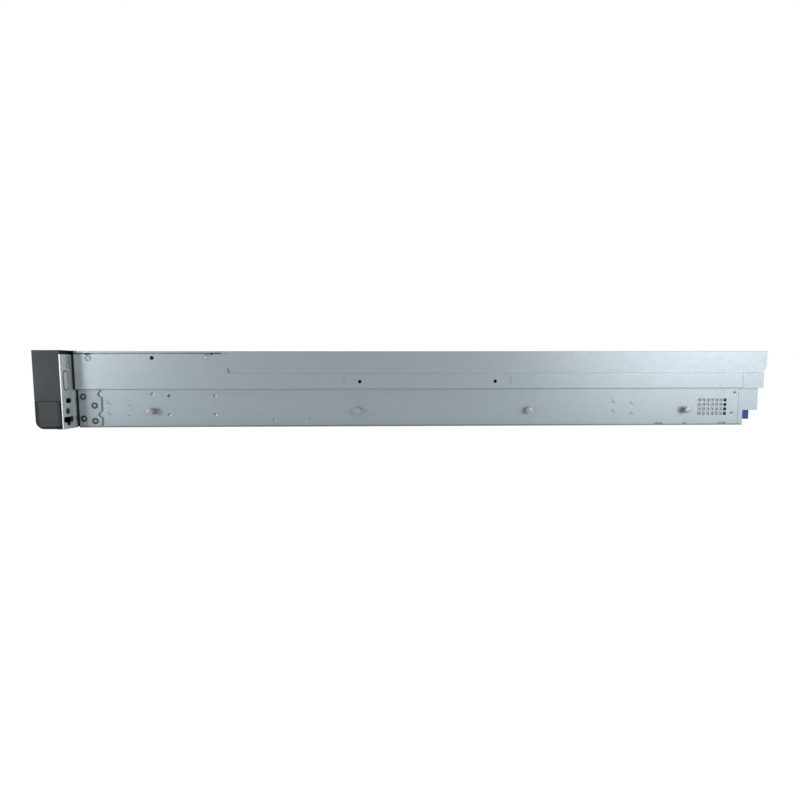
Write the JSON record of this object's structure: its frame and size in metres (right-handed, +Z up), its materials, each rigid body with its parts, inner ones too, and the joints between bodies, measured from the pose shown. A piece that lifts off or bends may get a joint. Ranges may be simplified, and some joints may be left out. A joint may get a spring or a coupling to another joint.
{
  "type": "two-unit rack server",
  "caption": "Two-unit rack server with front drive bays, rack ears with release levers, a lift-off hood, hot-plug power supplies and rail studs.",
  "frame": {"origin": "middle of the whole server's footprint, on the surface it stands on", "axes": "+Z up, -Y towards the front with the drive bays, +X to the right when seen from the front"},
  "size_m": [0.4826, 0.83, 0.0874],
  "materials": {
    "chassis_sheet": "zinc-coated sheet steel, faint spangle, satin",
    "hood_sheet": "zinc-coated sheet steel, satin",
    "flange_steel": "plated steel, satin",
    "ear_plastic": "dark grey moulded plastic, fine grain",
    "black_plastic": "black moulded plastic",
    "carrier_plastic": "dark grey moulded plastic",
    "lever_plastic": "grey moulded plastic",
    "blue_plastic": "touch-point blue plastic",
    "board": "green solder mask",
    "heatsink_alu": "milled and folded fins",
    "memory_green": "green circuit boards in black sockets",
    "duct_plastic": "thin moulded plastic",
    "riser_steel": "zinc-coated sheet steel",
    "stud_steel": "turned steel, plated",
    "screw_black": "black-oxide steel",
    "psu_case": "zinc-coated sheet steel",
    "button_plastic": "moulded plastic with a light ring"
  },
  "bodies": {
    "chassis": {"side_wall_right": "chassis_sheet", "side_wall_left": "chassis_sheet", "base_pan": "chassis_sheet", "rear_frame": "chassis_sheet", "front_cover": "hood_sheet", "ear_brackets": "flange_steel", "right_ear_housing": "ear_plastic", "left_ear_housing": "ear_plastic", "drive_cage": "chassis_sheet", "drive_backplane": "board", "fan_frames": "black_plastic", "motherboard": "board", "cpu_heatsinks": "heatsink_alu", "memory_modules": "memory_green", "air_duct": "duct_plastic", "riser_modules": "riser_steel", "rail_studs": "stud_steel", "case_screws": "screw_black"},
    "top_hood": {"top_hood": "hood_sheet"},
    "hood_latch": {"hood_latch": "black_plastic"},
    "right_ear_lever": {"right_ear_lever": "ear_plastic"},
    "left_ear_lever": {"left_ear_lever": "ear_plastic"},
    "power_button": {"power_button": "button_plastic"},
    "uid_button": {"uid_button": "button_plastic"},
    "drive_carrier_1": {"drive_carrier_1": "carrier_plastic"},
    "carrier_lever_1": {"carrier_lever_1": "lever_plastic"},
    "drive_carrier_2": {"drive_carrier_2": "carrier_plastic"},
    "carrier_lever_2": {"carrier_lever_2": "lever_plastic"},
    "drive_carrier_3": {"drive_carrier_3": "carrier_plastic"},
    "carrier_lever_3": {"carrier_lever_3": "lever_plastic"},
    "drive_carrier_4": {"drive_carrier_4": "carrier_plastic"},
    "carrier_lever_4": {"carrier_lever_4": "lever_plastic"},
    "drive_carrier_5": {"drive_carrier_5": "carrier_plastic"},
    "carrier_lever_5": {"carrier_lever_5": "lever_plastic"},
    "drive_carrier_6": {"drive_carrier_6": "carrier_plastic"},
    "carrier_lever_6": {"carrier_lever_6": "lever_plastic"},
    "drive_carrier_7": {"drive_carrier_7": "carrier_plastic"},
    "carrier_lever_7": {"carrier_lever_7": "lever_plastic"},
    "drive_carrier_8": {"drive_carrier_8": "carrier_plastic"},
    "carrier_lever_8": {"carrier_lever_8": "lever_plastic"},
    "drive_carrier_9": {"drive_carrier_9": "carrier_plastic"},
    "carrier_lever_9": {"carrier_lever_9": "lever_plastic"},
    "drive_carrier_10": {"drive_carrier_10": "carrier_plastic"},
    "carrier_lever_10": {"carrier_lever_10": "lever_plastic"},
    "drive_carrier_11": {"drive_carrier_11": "carrier_plastic"},
    "carrier_lever_11": {"carrier_lever_11": "lever_plastic"},
    "drive_carrier_12": {"drive_carrier_12": "carrier_plastic"},
    "carrier_lever_12": {"carrier_lever_12": "lever_plastic"},
    "fan_rotor_1": {"fan_rotor_1": "black_plastic"},
    "fan_rotor_2": {"fan_rotor_2": "black_plastic"},
    "fan_rotor_3": {"fan_rotor_3": "black_plastic"},
    "fan_rotor_4": {"fan_rotor_4": "black_plastic"},
    "power_supply_1": {"power_supply_1": "psu_case"},
    "psu_latch_1": {"psu_latch_1": "blue_plastic"},
    "psu_handle_1": {"psu_handle_1": "black_plastic"},
    "psu_rotor_1": {"psu_rotor_1": "black_plastic"},
    "power_supply_2": {"power_supply_2": "psu_case"},
    "psu_latch_2": {"psu_latch_2": "blue_plastic"},
    "psu_handle_2": {"psu_handle_2": "black_plastic"},
    "psu_rotor_2": {"psu_rotor_2": "black_plastic"}
  },
  "joints": [
    {"name": "hood_lift", "type": "slide", "parent": "chassis", "child": "top_hood", "axis": [0, 0, 1], "range_m": [0, 0.12]},
    {"name": "hood_latch_turn", "type": "hinge", "parent": "top_hood", "child": "hood_latch", "pos_m": [0, -0.03165, 0.0828], "axis": [-1, 0, 0], "range_deg": [0, 70]},
    {"name": "right_ear_lever_turn", "type": "hinge", "parent": "chassis", "child": "right_ear_lever", "pos_m": [0.2386, -0.39055, 0.015], "axis": [0, 0, 1], "range_deg": [0, 75]},
    {"name": "left_ear_lever_turn", "type": "hinge", "parent": "chassis", "child": "left_ear_lever", "pos_m": [-0.2386, -0.39055, 0.015], "axis": [0, 0, -1], "range_deg": [0, 75]},
    {"name": "power_button_press", "type": "slide", "parent": "chassis", "child": "power_button", "axis": [0, 1, 0], "range_m": [0, 0.0008], "stiffness_N_per_m": 300},
    {"name": "uid_button_press", "type": "slide", "parent": "chassis", "child": "uid_button", "axis": [0, 1, 0], "range_m": [0, 0.0008], "stiffness_N_per_m": 300},
    {"name": "carrier_1_slide", "type": "slide", "parent": "chassis", "child": "drive_carrier_1", "axis": [0, -1, 0], "range_m": [0, 0.175]},
    {"name": "carrier_lever_1_turn", "type": "hinge", "parent": "drive_carrier_1", "child": "carrier_lever_1", "pos_m": [-0.1158, -0.40065, 0.0151], "axis": [0, 0, 1], "range_deg": [0, 55]},
    {"name": "carrier_2_slide", "type": "slide", "parent": "chassis", "child": "drive_carrier_2", "axis": [0, -1, 0], "range_m": [0, 0.175]},
    {"name": "carrier_lever_2_turn", "type": "hinge", "parent": "drive_carrier_2", "child": "carrier_lever_2", "pos_m": [-0.0078, -0.40065, 0.0151], "axis": [0, 0, 1], "range_deg": [0, 55]},
    {"name": "carrier_3_slide", "type": "slide", "parent": "chassis", "child": "drive_carrier_3", "axis": [0, -1, 0], "range_m": [0, 0.175]},
    {"name": "carrier_lever_3_turn", "type": "hinge", "parent": "drive_carrier_3", "child": "carrier_lever_3", "pos_m": [0.1002, -0.40065, 0.0151], "axis": [0, 0, 1], "range_deg": [0, 55]},
    {"name": "carrier_4_slide", "type": "slide", "parent": "chassis", "child": "drive_carrier_4", "axis": [0, -1, 0], "range_m": [0, 0.175]},
    {"name": "carrier_lever_4_turn", "type": "hinge", "parent": "drive_carrier_4", "child": "carrier_lever_4", "pos_m": [0.2082, -0.40065, 0.0151], "axis": [0, 0, 1], "range_deg": [0, 55]},
    {"name": "carrier_5_slide", "type": "slide", "parent": "chassis", "child": "drive_carrier_5", "axis": [0, -1, 0], "range_m": [0, 0.175]},
    {"name": "carrier_lever_5_turn", "type": "hinge", "parent": "drive_carrier_5", "child": "carrier_lever_5", "pos_m": [-0.1158, -0.40065, 0.0431], "axis": [0, 0, 1], "range_deg": [0, 55]},
    {"name": "carrier_6_slide", "type": "slide", "parent": "chassis", "child": "drive_carrier_6", "axis": [0, -1, 0], "range_m": [0, 0.175]},
    {"name": "carrier_lever_6_turn", "type": "hinge", "parent": "drive_carrier_6", "child": "carrier_lever_6", "pos_m": [-0.0078, -0.40065, 0.0431], "axis": [0, 0, 1], "range_deg": [0, 55]},
    {"name": "carrier_7_slide", "type": "slide", "parent": "chassis", "child": "drive_carrier_7", "axis": [0, -1, 0], "range_m": [0, 0.175]},
    {"name": "carrier_lever_7_turn", "type": "hinge", "parent": "drive_carrier_7", "child": "carrier_lever_7", "pos_m": [0.1002, -0.40065, 0.0431], "axis": [0, 0, 1], "range_deg": [0, 55]},
    {"name": "carrier_8_slide", "type": "slide", "parent": "chassis", "child": "drive_carrier_8", "axis": [0, -1, 0], "range_m": [0, 0.175]},
    {"name": "carrier_lever_8_turn", "type": "hinge", "parent": "drive_carrier_8", "child": "carrier_lever_8", "pos_m": [0.2082, -0.40065, 0.0431], "axis": [0, 0, 1], "range_deg": [0, 55]},
    {"name": "carrier_9_slide", "type": "slide", "parent": "chassis", "child": "drive_carrier_9", "axis": [0, -1, 0], "range_m": [0, 0.175]},
    {"name": "carrier_lever_9_turn", "type": "hinge", "parent": "drive_carrier_9", "child": "carrier_lever_9", "pos_m": [-0.1158, -0.40065, 0.0711], "axis": [0, 0, 1], "range_deg": [0, 55]},
    {"name": "carrier_10_slide", "type": "slide", "parent": "chassis", "child": "drive_carrier_10", "axis": [0, -1, 0], "range_m": [0, 0.175]},
    {"name": "carrier_lever_10_turn", "type": "hinge", "parent": "drive_carrier_10", "child": "carrier_lever_10", "pos_m": [-0.0078, -0.40065, 0.0711], "axis": [0, 0, 1], "range_deg": [0, 55]},
    {"name": "carrier_11_slide", "type": "slide", "parent": "chassis", "child": "drive_carrier_11", "axis": [0, -1, 0], "range_m": [0, 0.175]},
    {"name": "carrier_lever_11_turn", "type": "hinge", "parent": "drive_carrier_11", "child": "carrier_lever_11", "pos_m": [0.1002, -0.40065, 0.0711], "axis": [0, 0, 1], "range_deg": [0, 55]},
    {"name": "carrier_12_slide", "type": "slide", "parent": "chassis", "child": "drive_carrier_12", "axis": [0, -1, 0], "range_m": [0, 0.175]},
    {"name": "carrier_lever_12_turn", "type": "hinge", "parent": "drive_carrier_12", "child": "carrier_lever_12", "pos_m": [0.2082, -0.40065, 0.0711], "axis": [0, 0, 1], "range_deg": [0, 55]},
    {"name": "fan_1_spin", "type": "hinge", "parent": "chassis", "child": "fan_rotor_1", "pos_m": [-0.162, -0.17465, 0.0418], "axis": [0, 1, 0], "continuous": true},
    {"name": "fan_2_spin", "type": "hinge", "parent": "chassis", "child": "fan_rotor_2", "pos_m": [-0.054, -0.17465, 0.0418], "axis": [0, 1, 0], "continuous": true},
    {"name": "fan_3_spin", "type": "hinge", "parent": "chassis", "child": "fan_rotor_3", "pos_m": [0.054, -0.17465, 0.0418], "axis": [0, 1, 0], "continuous": true},
    {"name": "fan_4_spin", "type": "hinge", "parent": "chassis", "child": "fan_rotor_4", "pos_m": [0.162, -0.17465, 0.0418], "axis": [0, 1, 0], "continuous": true},
    {"name": "power_supply_1_slide", "type": "slide", "parent": "chassis", "child": "power_supply_1", "axis": [0, 1, 0], "range_m": [0, 0.2]},
    {"name": "psu_latch_1_press", "type": "hinge", "parent": "power_supply_1", "child": "psu_latch_1", "pos_m": [0.2098, 0.37735, 0.012], "axis": [0, 0, 1], "range_deg": [0, 6]},
    {"name": "psu_handle_1_fold", "type": "hinge", "parent": "power_supply_1", "child": "psu_handle_1", "pos_m": [0.18678, 0.39375, 0.036], "axis": [1, 0, 0], "range_deg": [0, 90]},
    {"name": "psu_rotor_1_spin", "type": "hinge", "parent": "power_supply_1", "child": "psu_rotor_1", "pos_m": [0.18678, 0.38235, 0.0215], "axis": [0, 1, 0], "continuous": true},
    {"name": "power_supply_2_slide", "type": "slide", "parent": "chassis", "child": "power_supply_2", "axis": [0, 1, 0], "range_m": [0, 0.2]},
    {"name": "psu_latch_2_press", "type": "hinge", "parent": "power_supply_2", "child": "psu_latch_2", "pos_m": [0.1339, 0.37735, 0.012], "axis": [0, 0, 1], "range_deg": [0, 6]},
    {"name": "psu_handle_2_fold", "type": "hinge", "parent": "power_supply_2", "child": "psu_handle_2", "pos_m": [0.11088, 0.39375, 0.036], "axis": [1, 0, 0], "range_deg": [0, 90]},
    {"name": "psu_rotor_2_spin", "type": "hinge", "parent": "power_supply_2", "child": "psu_rotor_2", "pos_m": [0.11088, 0.38235, 0.0215], "axis": [0, 1, 0], "continuous": true}
  ]
}
